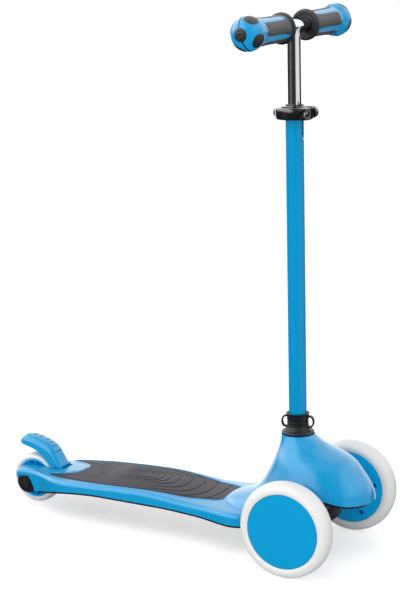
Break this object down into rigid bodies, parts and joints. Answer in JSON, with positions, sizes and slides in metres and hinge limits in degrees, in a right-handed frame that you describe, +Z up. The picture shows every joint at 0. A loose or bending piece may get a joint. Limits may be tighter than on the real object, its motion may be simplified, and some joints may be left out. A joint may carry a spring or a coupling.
{
  "type": "three wheel kids scooter",
  "caption": "Child kick scooter with a pair of wheels in front that lean to steer, a moulded deck with a foot brake over the rear wheel, and a height-adjustable T-shaped handlebar.",
  "frame": {"origin": "middle of the footprint, on the floor under the wheels", "axes": "+X forward from the rear wheel to the pair of front wheels, +Y to the rider's left, +Z up"},
  "size_m": [0.5236, 0.2774, 0.6728],
  "materials": {
    "blue_body": "smooth moulded plastic with a soft shine",
    "blue_core": "moulded blue plastic",
    "white_tyre": "hard cast white tyre, smooth",
    "grey_mat": "soft grey mat with low ridges",
    "black_plastic": "black moulded plastic",
    "gloss_black": "glossy black plastic",
    "grip_blue": "soft blue grip",
    "grip_panel": "dark grey soft grip panel",
    "blue_paint": "gloss blue coat on tube",
    "chrome_tube": "bright chrome",
    "amber_bush": "cast rubber-like bush",
    "plated_steel": "plated steel"
  },
  "bodies": {
    "chassis": {"body_shell": "blue_body", "deck_mat": "grey_mat", "bottom_cover": "black_plastic", "fork_end_cap_left": "black_plastic", "fork_end_cap_right": "black_plastic", "rear_axle_bolt": "gloss_black", "rear_axle_nut": "plated_steel", "rear_bearing_spacer": "plated_steel", "rear_axle_spacer_left": "plated_steel", "rear_axle_spacer_right": "plated_steel", "truck_bracket": "black_plastic", "bracket_screw_1": "plated_steel", "bracket_screw_2": "plated_steel", "bracket_screw_3": "plated_steel", "bracket_screw_4": "plated_steel", "kingpin": "plated_steel", "kingpin_washer": "plated_steel", "kingpin_nut": "plated_steel", "upper_bush": "amber_bush", "lower_bush": "amber_bush", "brake_pin": "plated_steel", "brake_spring": "plated_steel", "lower_tube": "blue_paint", "column_collar": "black_plastic", "guide_bush": "black_plastic", "button_leaf_spring": "plated_steel", "clamp_band": "gloss_black", "clamp_bolt": "plated_steel", "clamp_knob": "gloss_black", "cam_pin": "plated_steel"},
    "rear_wheel": {"rear_tyre": "white_tyre", "rear_wheel_core": "blue_core", "rear_bearing_left": "plated_steel", "rear_bearing_right": "plated_steel"},
    "axle_carrier": {"axle_carrier": "black_plastic", "front_axle_bolt_left": "plated_steel", "front_axle_bolt_right": "plated_steel", "front_axle_spacer_left": "plated_steel", "front_axle_spacer_right": "plated_steel"},
    "front_wheel_left": {"front_tyre_left": "white_tyre", "front_wheel_core_left": "blue_core", "front_wheel_cap_left": "blue_body", "front_inner_bearing_left": "plated_steel", "front_outer_bearing_left": "plated_steel"},
    "front_wheel_right": {"front_tyre_right": "white_tyre", "front_wheel_core_right": "blue_core", "front_wheel_cap_right": "blue_body", "front_inner_bearing_right": "plated_steel", "front_outer_bearing_right": "plated_steel"},
    "t_bar": {"t_bar": "chrome_tube", "stem_plug": "black_plastic", "grip_left": "grip_blue", "grip_right": "grip_blue", "grip_rubber_left": "grip_panel", "grip_rubber_right": "grip_panel"},
    "clamp_lever": {"clamp_lever": "gloss_black"},
    "stop_button": {"stop_button": "plated_steel"},
    "squeeze_clip_front": {"squeeze_clip_front": "black_plastic"},
    "squeeze_clip_rear": {"squeeze_clip_rear": "black_plastic"},
    "brake_pedal": {"brake_pedal": "blue_body"}
  },
  "joints": [
    {"name": "truck_steer", "type": "hinge", "parent": "chassis", "child": "axle_carrier", "pos_m": [0.1911, 0, 0.06184], "axis": [0.6428, 0, 0.766], "range_deg": [-12, 12], "stiffness_Nm_per_rad": 30},
    {"name": "front_left_spin", "type": "hinge", "parent": "axle_carrier", "child": "front_wheel_left", "pos_m": [0.1911, 0.09715, 0.05984], "axis": [0, 1, 0], "continuous": true},
    {"name": "front_right_spin", "type": "hinge", "parent": "axle_carrier", "child": "front_wheel_right", "pos_m": [0.1911, -0.09715, 0.05984], "axis": [0, 1, 0], "continuous": true},
    {"name": "rear_spin", "type": "hinge", "parent": "chassis", "child": "rear_wheel", "pos_m": [-0.2283, 0, 0.03354], "axis": [0, 1, 0], "continuous": true},
    {"name": "brake_press", "type": "hinge", "parent": "chassis", "child": "brake_pedal", "pos_m": [-0.1859, 0, 0.04404], "axis": [0, -1, 0], "range_deg": [0, 3], "stiffness_Nm_per_rad": 3, "springref_deg": -5.73},
    {"name": "handlebar_height", "type": "slide", "parent": "chassis", "child": "t_bar", "axis": [-0.0244, 0, 0.9997], "range_m": [-0.07, 0]},
    {"name": "clamp_lever_open", "type": "hinge", "parent": "chassis", "child": "clamp_lever", "pos_m": [0.16762, -0.013, 0.55047], "axis": [-0.0244, 0, 0.9997], "range_deg": [0, 120]},
    {"name": "stop_button_press", "type": "slide", "parent": "chassis", "child": "stop_button", "axis": [-0.9997, 0, -0.0244], "range_m": [0, 0.0025], "stiffness_N_per_m": 800, "springref_m": -0.001},
    {"name": "front_clip_squeeze", "type": "slide", "parent": "chassis", "child": "squeeze_clip_front", "axis": [-0.97, -0.2419, -0.0237], "range_m": [0, 0.0012], "stiffness_N_per_m": 2500, "springref_m": -0.0004},
    {"name": "rear_clip_squeeze", "type": "slide", "parent": "chassis", "child": "squeeze_clip_rear", "axis": [0.97, 0.2419, 0.0237], "range_m": [0, 0.0012], "stiffness_N_per_m": 2500, "springref_m": -0.0004}
  ]
}
